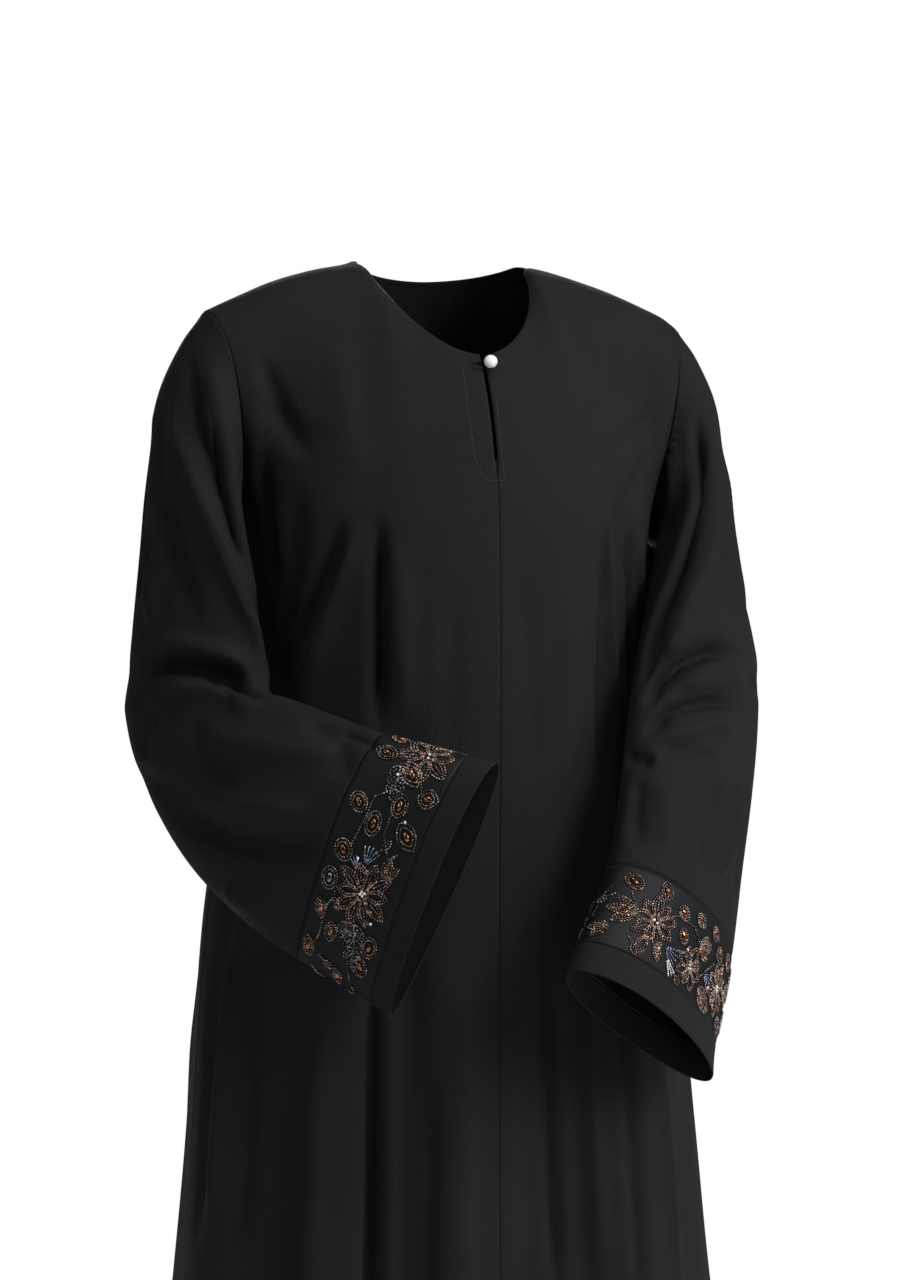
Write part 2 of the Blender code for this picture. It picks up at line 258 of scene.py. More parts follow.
def makeBeadTintAndGlint():
    # bead colour that drifts from bead to bead: real tone and a little tarnish, with painted glints on the
    # few bright beads
    group, start, end = makeGroup(
        "beadTintAndGlint",
        {"Low": (0.2, 0.1, 0.05, 1), "High": (0.6, 0.35, 0.2, 1), "Scale": 430.0},
        {"Colour": "Color", "Roughness": "Float"})
    place = group.nodes.new("ShaderNodeTexCoord").outputs["Object"]
    cells = group.nodes.new("ShaderNodeTexVoronoi")
    group.links.new(place, cells.inputs["Vector"])
    group.links.new(start.outputs["Scale"], cells.inputs["Scale"])
    split = group.nodes.new("ShaderNodeSeparateColor")
    group.links.new(cells.outputs["Color"], split.inputs["Color"])
    # the power keeps most beads dark and a few bright; the bright ones are painted glints as well as bead
    # colour
    share = mathNode(group, "POWER", split.outputs[0], 2.2)
    toneAndGlint = mixColours(group, share, start.outputs["Low"], start.outputs["High"])
    group.links.new(toneAndGlint, end.inputs["Colour"])
    rough = group.nodes.new("ShaderNodeMapRange")
    setSockets(rough, {"To Min": 0.12, "To Max": 0.30})
    group.links.new(split.outputs[1], rough.inputs["Value"])
    group.links.new(rough.outputs["Result"], end.inputs["Roughness"])
    return group


beadTintAndGlint = makeBeadTintAndGlint()

# each finish runs from a dark Low to a bright High; beads near High are partly the bead's own colour,
# partly painted glints
beadFinishes = {
    "copper": {"Low": (0.030, 0.014, 0.008, 1), "High": (0.42, 0.235, 0.145, 1), "metal": 0.85},
    "rose": {"Low": (0.040, 0.026, 0.024, 1), "High": (0.46, 0.35, 0.30, 1), "metal": 0.80},
    "gunmetal": {"Low": (0.006, 0.006, 0.007, 1), "High": (0.30, 0.275, 0.26, 1), "metal": 0.75},
    "steelBlue": {"Low": (0.06, 0.075, 0.11, 1), "High": (0.34, 0.42, 0.60, 1), "metal": 0.85},
    "silver": {"Low": (0.45, 0.44, 0.42, 1), "High": (0.90, 0.88, 0.84, 1), "metal": 0.60},
    "amber": {"Low": (0.030, 0.008, 0.004, 1), "High": (0.36, 0.145, 0.055, 1), "metal": 0.90},
}


def beadMaterial(name, finish):
    material, tree, shader = newMaterial(name)
    setSockets(shader, {"Metallic": finish["metal"], "Coat Weight": 0.5, "Coat Roughness": 0.08})
    # bead colour from the tint group, with painted glints on the few bright beads
    toneAndGlint = tree.nodes.new("ShaderNodeGroup")
    toneAndGlint.node_tree = beadTintAndGlint
    setSockets(toneAndGlint, {"Low": finish["Low"], "High": finish["High"]})
    tree.links.new(toneAndGlint.outputs["Colour"], shader.inputs["Base Color"])
    tree.links.new(toneAndGlint.outputs["Roughness"], shader.inputs["Roughness"])
    return material


crepeCloth = clothMaterial("blackCrepe", crepe)
satinCloth = clothMaterial("bandSatin", satin)
sewingThread = clothMaterial("sewingThread", thread)
beadMaterials = {name: beadMaterial(name + "Bead", finish) for name, finish in beadFinishes.items()}
print("materials made")


# Cloth: the outer face of each solid, made smooth, creased, then given its thickness

clothWall = 0.0011

# Skins: weld in metres; the sharpest bend inside one skin and between two halves of a quad, in degrees
skinRules = {"weld": 0.00002, "bend": 58, "quad": 70}


def outerSkin(name, mesh):
    # the outer side of a CAD solid, as quads
    skin = shapeFrom(mesh)
    bmesh.ops.remove_doubles(skin, verts=skin.verts, dist=skinRules["weld"])
    bmesh.ops.recalc_face_normals(skin, faces=skin.faces)
    seen = set()
    best = []
    bestArea = 0
    for first in skin.faces:
        if first in seen:
            continue
        seen.add(first)
        patch = [first]
        for face in patch:
            for edge in face.edges:
                if len(edge.link_faces) != 2 or edge.calc_face_angle(0) > radians(skinRules["bend"]):
                    continue
                for other in edge.link_faces:
                    if other not in seen:
                        seen.add(other)
                        patch.append(other)
        area = sum(face.calc_area() for face in patch)
        if name == "slit_facing" and sum(face.normal.y for face in patch) > 0:
            continue
        if area > bestArea:
            best = patch
            bestArea = area
    keep = set(best)
    gone = [face for face in skin.faces if face not in keep]
    bmesh.ops.delete(skin, geom=gone, context="FACES")
    quadBend = radians(skinRules["quad"])
    bmesh.ops.join_triangles(skin, faces=skin.faces, angle_face_threshold=quadBend,
                             angle_shape_threshold=quadBend)
    print("  skin", name, len(skin.faces), "faces", sum(len(face.verts) == 3 for face in skin.faces),
          "triangles", round(bestArea, 3))
    return skin


def refine(thing, levels):
    finer = thing.modifiers.new("finer", "SUBSURF")
    finer.levels = levels
    finer.render_levels = levels
    return finer


def joinSkins(names, reach, levels):
    # neighbouring skins are welded so that the cloth runs smoothly over their seams
    joined = bmesh.new()
    for index, name in enumerate(names):
        skin = outerSkin(name, nodes[name].data)
        for face in skin.faces:
            face.material_index = index
        mesh = meshFrom(skin, "skin")
        joined.from_mesh(mesh)
        bpy.data.meshes.remove(mesh)
    rim = [vertex for vertex in joined.verts if vertex.is_boundary]
    bmesh.ops.remove_doubles(joined, verts=rim, dist=reach)
    bmesh.ops.recalc_face_normals(joined, faces=joined.faces)
    helper = addObject("helper", meshFrom(joined, "smooth"))
    refine(helper, levels).boundary_smooth = "PRESERVE_CORNERS"
    bpy.context.view_layer.update()
    shown = helper.evaluated_get(bpy.context.evaluated_depsgraph_get())
    fine = bpy.data.meshes.new_from_object(shown)
    bpy.data.objects.remove(helper)
    result = shapeFrom(fine)
    bpy.data.meshes.remove(fine)
    result.normal_update()
    return result


def nearestOnLine(point, line):
    # distance to a line of points, and the share of the way along it
    best = 1e9
    share = 0
    count = len(line) - 1
    for index in range(count):
        start = line[index]
        step = line[index + 1] - start
        along = min(max((point - start).dot(step) / step.length_squared, 0), 1)
        away = (start + step * along - point).length
        if away < best:
            best = away
            share = (index + along) / count
    return best, share


castStep = 22


def castLine(tree, pixels, turn):
    # a line of picture points laid on the cloth, with points added between so that it follows the surface
    finer = []
    for (ax, ay), (bx, by) in zip(pixels, pixels[1:]):
        steps = max(int(hypot(bx - ax, by - ay) / castStep), 1)
        finer += [(ax + (bx - ax) * step / steps, ay + (by - ay) * step / steps) for step in range(steps)]
    finer.append(pixels[-1])
    places = []
    normal = Vector((0, 0, 0))
    for px, py in finer:
        place, facing = castPixel(tree, px, py, turn)
        if place:
            places.append(place)
            normal += facing
    return places, normal


# How a crease is pressed: reach and spread in half widths, margin, least and deepest in metres,
# ends as the share of its length over which it fades
press = {"reach": 2.6, "margin": 0.018, "facing": -0.2, "ends": 0.28, "spread": 0.88, "least": 0.00002,
         "deepest": -0.017}


def pressCreases(cloth, creases, label, strength, highest):
    # each crease is a soft trough (minus) or ridge (plus) along a line; the depths are added up
    tree = BVHTree.FromBMesh(cloth)
    finder = KDTree(len(cloth.verts))
    for index, vertex in enumerate(cloth.verts):
        finder.insert(vertex.co, index)
    finder.balance()
    cloth.verts.ensure_lookup_table()
    moves = {}
    missed = 0
    for turn, pixels, halfWidth, depth in creases:
        width = halfWidth / 1000
        line, facing = castLine(tree, pixels, turn)
        if len(line) < 2:
            missed += 1
            continue
        facing.normalize()
        near = set()
        reach = width * press["reach"] + press["margin"]
        for point in line:
            near.update(index for _, index, _ in finder.find_range(point, reach))
        for index in near:
            vertex = cloth.verts[index]
            if vertex.normal.dot(facing) < press["facing"]:
                continue
            away, share = nearestOnLine(vertex.co, line)
            ends = min(share, 1 - share) / press["ends"]
            fade = 1 if ends >= 1 else ends * ends * (3 - 2 * ends)
            amount = depth / 1000 * strength * exp(-(away / (width * press["spread"])) ** 2) * fade
            if abs(amount) > press["least"]:
                moves[index] = moves.get(index, 0) + amount
    for index, amount in moves.items():
        vertex = cloth.verts[index]
        vertex.co += vertex.normal * max(min(amount, highest), press["deepest"])
    cloth.normal_update()
    print("  creases on", label, len(creases), "missed", missed)


uneven = {"swells": (9, 9, 5), "ripples": (30, 30, 9), "rippleShift": 7, "rippleShare": 0.35}


def noiseAt(place, scales, shift=0):
    return noise.noise(Vector((place.x * scales[0] + shift, place.y * scales[1], place.z * scales[2])))


def unevenCloth(cloth, amount):
    # cloth never lies perfectly even: slow swells, and a smaller ripple that runs mostly downwards
    for vertex in cloth.verts:
        slow = noiseAt(vertex.co, uneven["swells"])
        ripple = noiseAt(vertex.co, uneven["ripples"], uneven["rippleShift"])
        vertex.co += vertex.normal * (slow * amount + ripple * amount * uneven["rippleShare"])
    cloth.normal_update()


# Creases: the side they are seen from, points in the picture, half width and depth in millimetres
bodyCreases = [
    (-20, [(258, 345), (270, 382), (294, 438), (325, 468)], 9, -4.5),
    (-20, [(262, 440), (268, 520), (276, 600)], 10, -5),
    (-20, [(300, 480), (292, 560), (284, 650)], 12, -4.5),
    (-20, [(346, 515), (320, 590), (290, 660)], 8, -7.5),
    (-20, [(364, 520), (334, 600), (296, 700)], 9, 6.5),
    (-20, [(379, 508), (378, 610), (378, 740)], 7.5, -11.2),
    (-20, [(398, 540), (402, 640), (406, 740)], 12, 3.5),
    (-20, [(250, 395), (290, 425), (345, 448)], 10, -2),
    (-20, [(330, 330), (350, 420), (360, 500)], 16, 2),
    (-20, [(662, 400), (630, 440), (590, 470)], 10, -2.6),
    (-20, [(654, 440), (630, 500), (606, 590)], 10, -3.2),
    (-20, [(612, 480), (604, 620), (600, 800)], 9, -6.5),
    (-20, [(616, 510), (614, 640), (613, 790)], 6, 4.5),
    (-20, [(632, 500), (630, 640), (628, 790)], 6, -7.5),
    (-20, [(640, 510), (641, 600), (639, 700)], 6, 4),
    (-20, [(572, 560), (568, 700), (566, 860)], 12, 2.4),
    (-20, [(216, 930), (206, 1080), (194, 1260)], 10, -5),
    (-20, [(234, 915), (222, 1080), (208, 1260)], 8, 5.5),
    (-20, [(255, 950), (248, 1100), (238, 1290)], 10, -4.5),
    (-20, [(376, 900), (376, 1060), (374, 1230), (368, 1480)], 7.2, -12.5),
    (-20, [(392, 950), (390, 1100), (388, 1280), (384, 1480)], 11, 5.5),
    (-20, [(322, 1000), (314, 1180), (302, 1400)], 13, 5),
    (-20, [(430, 1040), (428, 1200), (420, 1450)], 14, -4),
    (-20, [(462, 960), (464, 1150), (462, 1400)], 13, 2.8),
    (-20, [(545, 900), (552, 1100), (560, 1350)], 11, -8.5),
    (-20, [(580, 900), (590, 1080), (604, 1320)], 11, 5),
    (-20, [(620, 940), (634, 1150), (648, 1380)], 11, -5),
    (-20, [(650, 960), (668, 1150), (684, 1380)], 11, 4.5),
    (-20, [(520, 560), (530, 680), (533, 800)], 14, -1.8),
    (-20, [(455, 560), (450, 680), (448, 820)], 14, -2),
    (70, [(508, 520), (514, 600), (518, 680), (520, 800)], 22, 11),
    (70, [(504, 518), (508, 566), (511, 618)], 21, 8),
    (60, [(380, 420), (400, 560), (390, 760)], 13, -4.5),
    (60, [(450, 640), (458, 860), (462, 1180)], 14, 5),
    (60, [(520, 560), (530, 780), (545, 1100)], 12, -5),
    (-100, [(470, 430), (450, 600), (455, 800)], 13, -4.5),
    (-100, [(400, 680), (392, 900), (380, 1200)], 14, 5),
    (-100, [(520, 620), (524, 840), (536, 1150)], 12, -5),
    (160, [(330, 300), (390, 350), (470, 362)], 14, -3.2),
    (160, [(600, 300), (545, 352), (470, 366)], 14, -3.2),
    (160, [(300, 400), (335, 500), (350, 640)], 11, -6),
    (160, [(318, 400), (356, 500), (372, 640)], 10, 4),
    (160, [(620, 400), (590, 500), (575, 650)], 11, -6),
    (160, [(600, 400), (568, 500), (552, 650)], 10, 4),
    (160, [(390, 470), (396, 620), (388, 800)], 12, 3.5),
    (160, [(520, 460), (512, 640), (520, 820)], 12, 3.5),
    (160, [(452, 560), (450, 760), (447, 1000)], 13, -4),
    (160, [(330, 760), (318, 980), (300, 1300)], 12, -6.5),
    (160, [(410, 860), (404, 1080), (396, 1380)], 13, 5.5),
    (160, [(500, 880), (508, 1100), (520, 1400)], 12, -6.5),
    (160, [(580, 760), (600, 980), (622, 1300)], 13, 5.5),
    (160, [(640, 900), (660, 1100), (676, 1320)], 11, -5),
]
sleeveRightCreases = [
    (-20, [(136, 678), (166, 663), (205, 667), (234, 677), (270, 702)], 8, -13),
    (-20, [(146, 640), (182, 644), (222, 655), (256, 676)], 10, 6.5),
    (-20, [(150, 700), (186, 690), (222, 694), (262, 714)], 9, 5.5),
    (-20, [(204, 678), (222, 673), (240, 684)], 4.5, -4),
    (-20, [(196, 664), (216, 684), (238, 706)], 4.5, -3),
    (-20, [(160, 712), (146, 732), (140, 760)], 10, -3.5),
    (-20, [(171, 345), (177, 430), (198, 492), (226, 556), (254, 630), (271, 690)], 7, 7.5),
    (-20, [(188, 345), (196, 420), (214, 476), (240, 545), (264, 612)], 7.5, -8),
    (-20, [(210, 350), (220, 420), (238, 500)], 9, 3),
    (-20, [(160, 400), (162, 480), (176, 560), (200, 640)], 12, -5.5),
    (-20, [(142, 520), (150, 580), (156, 640)], 10, 3.5),
    (-20, [(135, 775), (180, 814), (230, 842), (285, 852), (330, 848)], 14, -7.5),
    (-20, [(170, 726), (230, 742), (300, 752), (360, 750)], 14, 4.5),
    (-20, [(186, 706), (204, 756), (240, 806)], 12, -3.5),
    (-20, [(200, 790), (250, 806), (315, 812)], 11, 3.5),
    (-20, [(338, 730), (360, 738), (382, 750)], 5, -3.5),
    (-20, [(300, 716), (338, 740), (350, 790)], 10, -3),
    (-20, [(150, 830), (200, 880), (262, 912)], 12, 3.5),
    (70, [(290, 590), (300, 650), (335, 690)], 10, -5.5),
    (70, [(310, 680), (260, 700), (200, 735)], 10, -5.5),
    (-95, [(440, 400), (446, 510), (462, 620)], 11, -5.5),
    (-95, [(500, 390), (506, 520), (502, 640)], 11, 4),
    (-95, [(430, 672), (480, 678), (540, 702), (590, 738)], 12, -1.6),
    (-95, [(436, 706), (490, 718), (546, 746)], 12, 0.8),
    (-95, [(480, 776), (550, 792), (630, 806)], 13, -2.5),
    (160, [(640, 420), (650, 540), (640, 640)], 11, -6),
    (160, [(680, 460), (690, 560), (690, 660)], 11, 5),
    (160, [(606, 694), (652, 684), (706, 694)], 9, -5.5),
    (160, [(560, 768), (620, 776), (684, 756)], 11, -4.5),
]
sleeveLeftCreases = [
    (-20, [(698, 400), (701, 500), (682, 562), (656, 622), (638, 700)], 8, -11),
    (-20, [(716, 430), (720, 506), (704, 572), (680, 626), (664, 676)], 10, 6),
    (-20, [(672, 400), (672, 500), (658, 560), (644, 610)], 9, 4),
    (-20, [(640, 712), (660, 682), (688, 662), (714, 652), (748, 656)], 6.6, -11.8),
    (-20, [(668, 690), (700, 680), (746, 680)], 6.4, 7),
    (-20, [(640, 740), (670, 712), (708, 702), (744, 704)], 6, -9.5),
    (-20, [(648, 744), (684, 732), (714, 724), (738, 730)], 7, 4.5),
    (-20, [(660, 656), (690, 636), (728, 630)], 8, 6),
    (-20, [(650, 752), (690, 750), (722, 764)], 8, -4),
    (-20, [(624, 762), (640, 758), (656, 762)], 8, -6),
    (-20, [(742, 780), (732, 835), (716, 884)], 8, 5.5),
    (-20, [(722, 770), (714, 830), (700, 880)], 10, -4.5),
    (-20, [(664, 780), (666, 830), (660, 868)], 10, 3.5),
    (-20, [(716, 450), (724, 540), (734, 630)], 10, -3.5),
    (-20, [(640, 770), (636, 815), (640, 858)], 9, -3.5),
    (50, [(622, 420), (626, 540), (602, 660)], 11, -5.5),
    (50, [(582, 420), (576, 540), (552, 640)], 10, 4),
    (50, [(540, 684), (580, 680), (614, 696)], 9, -5.5),
    (50, [(520, 790), (500, 860), (460, 920)], 12, -4.5),
    (160, [(200, 400), (190, 520), (186, 620)], 11, -5.5),
    (160, [(165, 440), (160, 540), (160, 640)], 11, 4.5),
    (160, [(140, 694), (190, 684), (242, 702)], 9, -6),
    (160, [(150, 740), (195, 748), (250, 770)], 10, 4),
]

# Weld, highest and uneven in metres; levels of smoothing; strength multiplies the depths above
bodyWork = {"weld": 0.0023, "levels": 3, "strength": 1.35, "highest": 0.013, "uneven": 0.0016}
sleeveWork = {"weld": 0.0012, "levels": 3, "strength": 1.45, "highest": 0.0075, "uneven": 0.0010}
facingWork = {"weld": 0.0001, "levels": 2}
bodyNames = ["front_right", "front_left", "back"]


def creasedCloth(names, creases, label, work):
    cloth = joinSkins(names, work["weld"], work["levels"])
    pressCreases(cloth, creases, label, work["strength"], work["highest"])
    unevenCloth(cloth, work["uneven"])
    return cloth


bodyCloth = creasedCloth(bodyNames, bodyCreases, "body", bodyWork)
bodyTree = BVHTree.FromBMesh(bodyCloth)
armhole = {"lowest": -0.26, "reach": 0.03}


def snapToBody(sleeve):
    # the sleeve's first ring is laid back on the armhole after smoothing
    rim = [vertex for vertex in bodyCloth.verts if vertex.is_boundary]
    finder = KDTree(len(rim))
    for index, vertex in enumerate(rim):
        finder.insert(vertex.co, index)
    finder.balance()
    ring = [vertex for vertex in sleeve.verts if vertex.is_boundary and vertex.co.z > armhole["lowest"]]
    ringFinder = KDTree(len(ring))
    shifts = []
    for index, vertex in enumerate(ring):
        ringFinder.insert(vertex.co, index)
        place, _, _ = finder.find(vertex.co)
        shifts.append(place - vertex.co)
    ringFinder.balance()
    print("  armhole shift, largest mm", round(1000 * max(shift.length for shift in shifts), 2))
    for vertex in sleeve.verts:
        _, index, away = ringFinder.find(vertex.co)
        if away < armhole["reach"]:
            share = 1 - away / armhole["reach"]
            vertex.co += shifts[index] * share * share * (3 - 2 * share)
    sleeve.normal_update()


def makeSleeve(word, creases):
    names = [f"sleeve_{word}", f"cuff_band_{word}", f"cuff_hem_{word}"]
    cloth = creasedCloth(names, creases, names[0], sleeveWork)
    snapToBody(cloth)
    return names, cloth


seamFinish = {"gap": 0.00003, "dip": 0.0005}
underArm = {"outside": 0.17, "low": -0.25, "high": -0.03, "noDipBelow": -0.21, "fade": 0.05}


def cutPiece(cloth, index, name, material):
    # one maker's piece of the joined cloth, with a fine gap and a slight dip at its seams
    piece = cloth.copy()
    gone = [face for face in piece.faces if face.material_index != index]
    bmesh.ops.delete(piece, geom=gone, context="FACES")
    for face in piece.faces:
        face.material_index = 0
        face.smooth = True
    inward = {}
    for vertex in piece.verts:
        if vertex.is_boundary:
            inner = [edge.other_vert(vertex) for edge in vertex.link_edges if not edge.is_boundary]
            if inner:
                middle = sum((other.co for other in inner), Vector()) / len(inner)
                inward[vertex] = (middle - vertex.co).normalized()
    for vertex, direction in inward.items():
        dip = seamFinish["dip"]
        if abs(vertex.co.x) > underArm["outside"] and underArm["low"] < vertex.co.z < underArm["high"]:
            # no dip under the arm, where the two cloths face different ways
            dip *= min(max((vertex.co.z - underArm["noDipBelow"]) / underArm["fade"], 0), 1)
        vertex.co += direction * seamFinish["gap"] - vertex.normal * dip
    mesh = meshFrom(piece, name + "_cloth")
    thing = addObject(name + "_cloth", mesh)
    mesh.materials.append(material)
    wall = thing.modifiers.new("wall", "SOLIDIFY")
    wall.thickness = clothWall
    wall.offset = -1
    wall.use_even_offset = False
    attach(thing, "root")
    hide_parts(name)
    return thing


finished = {}
for index, name in enumerate(bodyNames):
    finished[name] = cutPiece(bodyCloth, index, name, crepeCloth)
for word, creases in (("right", sleeveRightCreases), ("left", sleeveLeftCreases)):
    names, cloth = makeSleeve(word, creases)
    for index, name in enumerate(names):
        finished[name] = cutPiece(cloth, index, name, satinCloth if "band" in name else crepeCloth)
    cloth.free()
facing = joinSkins(["slit_facing"], facingWork["weld"], facingWork["levels"])
finished["slit_facing"] = cutPiece(facing, 0, "slit_facing", crepeCloth)
facing.free()
print("cloth made")


# Stitches: short thread bars laid along a line on the cloth

stitch = {"length": 0.0026, "pitch": 0.0034, "width": 0.00055, "height": 0.00030, "lift": 0.0001}
hemLine = {"height": -1.378, "degrees": 1.5, "castFrom": 1.5}


def stitchBar():
    bar = bmesh.new()
    bmesh.ops.create_uvsphere(bar, u_segments=6, v_segments=4, radius=0.5)
    bmesh.ops.rotate(bar, verts=bar.verts, cent=(0, 0, 0), matrix=Matrix.Rotation(pi / 2, 3, "Y"))
    bmesh.ops.scale(bar, vec=(stitch["length"], stitch["width"], stitch["height"] * 2), verts=bar.verts)
    return meshFrom(bar, "stitchBar")


def surfaceFrame(point, normal, along):
    side = normal.cross(along).normalized()
    ahead = side.cross(normal).normalized()
    turned = Matrix((ahead, side, normal.normalized())).transposed().to_4x4()
    turned.translation = point
    return turned


def walkLine(points, pitch):
    # evenly spaced points and directions along a line
    walked = 0
    target = pitch / 2
    for start, end in zip(points, points[1:]):
        step = end - start
        length = step.length
        while length > 0 and walked + length >= target:
            yield start + step * ((target - walked) / length), step / length
            target += pitch
        walked += length


def sewLines(name, lines):
    bar = stitchBar()
    sewn = bmesh.new()
    count = 0
    for points in lines:
        for point, along in walkLine(points, stitch["pitch"]):
            place, normal, _, _ = bodyTree.find_nearest(point)
            turned = surfaceFrame(place + normal * stitch["lift"], normal, along)
            bar.transform(turned)
            sewn.from_mesh(bar)
            bar.transform(turned.inverted())
            count += 1
    for face in sewn.faces:
        face.smooth = True
    mesh = meshFrom(sewn, name)
    thing = addObject(name, mesh)
    mesh.materials.append(sewingThread)
    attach(thing, "root")
    print("  stitches", name, count)


def hemPoints():
    # a line round the body a little above its lower edge
    points = []
    away = hemLine["castFrom"]
    for number in range(int(360 / hemLine["degrees"]) + 1):
        turn = radians(number * hemLine["degrees"])
        start = Vector((away * sin(turn), -away * cos(turn), hemLine["height"]))
        place, _, _, _ = bodyTree.ray_cast(start, Vector((-sin(turn), cos(turn), 0)))
        if place:
            points.append(place)
    return points


# points in the picture
slitLines = [
    [(463, 369), (468, 410), (475, 457), (484, 480)],
    [(484, 480), (505, 481)],
    [(496, 398), (500, 440), (505, 481)],
]


sewLines("slit_topstitch", [castLine(bodyTree, pixels, view["turn"])[0] for pixels in slitLines])
sewLines("hem_topstitch", [hemPoints()])
print("stitches sewn")


# Pearl and its loop

pearl = {"radius": 0.0058, "flat": 0.97, "uneven": 0.012, "unevenScale": 500}


def makePearl():
    low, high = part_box("button")
    middle = (low + high) / 2
    ball = bmesh.new()
    bmesh.ops.create_icosphere(ball, subdivisions=4, radius=pearl["radius"])
    bmesh.ops.scale(ball, vec=(1, 1, pearl["flat"]), verts=ball.verts)
    for vertex in ball.verts:
        vertex.co *= 1 + pearl["uneven"] * noise.noise(vertex.co * pearl["unevenScale"])
    bmesh.ops.translate(ball, vec=middle, verts=ball.verts)
    for face in ball.faces:
        face.smooth = True
    mesh = meshFrom(ball, "pearl_button")
    thing = addObject("pearl_button", mesh)
    material, tree, shader = newMaterial("pearlNacre")
    setSockets(shader, {"Roughness": 0.28, "Coat Weight": 0.8, "Coat Roughness": 0.06,
                        "Subsurface Weight": 0.15, "Subsurface Scale": 0.002})
    place = tree.nodes.new("ShaderNodeTexCoord").outputs["Object"]
    drift = tree.nodes.new("ShaderNodeTexNoise")
    setSockets(drift, {"Scale": 180})
    tree.links.new(place, drift.inputs["Vector"])
    tone = tree.nodes.new("ShaderNodeValToRGB")
    tone.color_ramp.elements[0].position = 0.3
    tone.color_ramp.elements[0].color = (0.66, 0.62, 0.60, 1)
    tone.color_ramp.elements[1].position = 0.7
    tone.color_ramp.elements[1].color = (0.88, 0.86, 0.83, 1)
    tree.links.new(drift.outputs["Fac"], tone.inputs["Fac"])
    tree.links.new(tone.outputs["Color"], shader.inputs["Base Color"])
    mesh.materials.append(material)
    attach(thing, "root")
    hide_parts("button")


def makeLoop():
    # the loop is a fine round cord
    cord = nodes["button_loop"].data.copy()
    cord.materials.clear()
    cord.materials.append(clothMaterial("loopCord", cordFinish))
    cord.shade_smooth()
    thing = addObject("loop_cord", cord)
    refine(thing, 2)
    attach(thing, "root")
    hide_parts("button_loop")


makePearl()
makeLoop()
print("pearl and loop made")


# Beadwork: each bead is a place on the band, along from the top line and across from the sleeve seam.
# Bead sizes, pitches and places are in millimetres.

beadShapes = {
    "bugle": {"size": (3.2, 1.3, 1.3), "segments": 6},
    "short": {"size": (2.2, 1.7, 1.7), "segments": 6},
    "seed": {"size": (1.9, 1.9, 1.7), "segments": 6},
    "dot": {"size": (2.8, 2.8, 2.4), "segments": 8},
    "stone": {"size": (9.0, 5.2, 2.8), "segments": 8},
}


def beadMesh(name, spec):
    bead = bmesh.new()
    if name == "bugle":
        bmesh.ops.create_cone(bead, cap_ends=True, segments=spec["segments"],
                              radius1=0.5, radius2=0.5, depth=1)
    else:
        bmesh.ops.create_uvsphere(bead, u_segments=spec["segments"], v_segments=4, radius=0.5)
    bmesh.ops.rotate(bead, verts=bead.verts, cent=(0, 0, 0), matrix=Matrix.Rotation(pi / 2, 3, "Y"))
    bmesh.ops.scale(bead, vec=[value / 1000 for value in spec["size"]], verts=bead.verts)
    return meshFrom(bead, "bead")


beadMeshes = {name: beadMesh(name, spec) for name, spec in beadShapes.items()}


def beadLine(points, shape, colour, pitch):
    # beads laid end to end along a line of (along, across) points
    beads = []
    line = [Vector((x, y, 0)) for x, y in points]
    for place, way in walkLine(line, pitch):
        beads.append((place.x, place.y, atan2(way.y, way.x), shape, colour))
    return beads


def turnedPoints(points, x, y, angle, size=1.0):
    c = cos(angle)
    s = sin(angle)
    return [(x + size * (px * c - py * s), y + size * (px * s + py * c)) for px, py in points]


def leafOutline(length, width):
    # a pointed oval that starts and ends at its root
    count = 10
    steps = range(count + 1)
    upper = [(length * step / count, width / 2 * sin(pi * step / count) ** 0.8) for step in steps]
    lower = [(px, -py) for px, py in reversed(upper[:-1])]
    return upper + lower


leaf = {"rimPitch": 2.5, "fillPitch": 2.45, "ribPitch": 2.4, "inset": 1.6, "shorter": 4.4, "narrower": 4.6,
        "fillFrom": 6.5, "ribBelow": 10, "ribFrom": 21, "ribStart": 0.28, "ribEnd": 0.82}


def petal(x, y, length, width, angle, rim="rose", fill="copper"):
    # a filled leaf: its outline, a second row inside and a row down the middle
    root = turnedPoints([(leaf["inset"], 0)], x, y, angle)[0]
    outline = turnedPoints(leafOutline(length, width), x, y, angle)
    beads = beadLine(outline, "short", rim, leaf["rimPitch"])
    if width > leaf["fillFrom"]:
        inside = leafOutline(length - leaf["shorter"], width - leaf["narrower"])
        beads += beadLine(turnedPoints(inside, root[0], root[1], angle), "short", fill, leaf["fillPitch"])
    if width < leaf["ribBelow"] or length > leaf["ribFrom"]:
        rib = [(length * leaf["ribStart"], 0), (length * leaf["ribEnd"], 0)]
        beads += beadLine(turnedPoints(rib, x, y, angle), "seed", fill, leaf["ribPitch"])
    return beads


bloom = {"uneven": 0.12, "unevenStep": 2.4, "rootShare": 0.13, "widthShare": 0.62, "overlap": 1.15,
         "widest": 11.5, "heartRing": 1.9}


def flower(x, y, radius, petals, angle, colours=("rose", "copper"), hearts=4):
    beads = []
    for number in range(petals):
        way = angle + 2 * pi * number / petals
        reach = radius * (1 + bloom["uneven"] * sin(number * bloom["unevenStep"]))
        start = radius * bloom["rootShare"]
        wide = 2 * reach * bloom["widthShare"] * sin(pi / petals) * bloom["overlap"]
        wide = min(wide, bloom["widest"])
        rim, fill = colours if number % 3 else colours[::-1]
        beads += petal(x + start * cos(way), y + start * sin(way), reach - start, wide, way, rim, fill)
    for number in range(hearts):
        way = angle + 2 * pi * number / max(hearts, 1)
        ring = bloom["heartRing"]
        beads.append((x + ring * cos(way), y + ring * sin(way), 0, "dot", "silver"))
    return beads


ringPitch = {"outer": 2.35, "inner": 2.15}


def ringedStone(ring, x, y, angle, inside, outer, inner, stone):
    # a stone with two rings of beads; inside is the size of the inner one against the outer
    beads = beadLine(turnedPoints(ring, x, y, angle), "short", outer, ringPitch["outer"])
    beads += beadLine(turnedPoints(ring, x, y, angle, inside), "seed", inner, ringPitch["inner"])
    beads.append((x, y, angle, "stone", stone))
    return beads


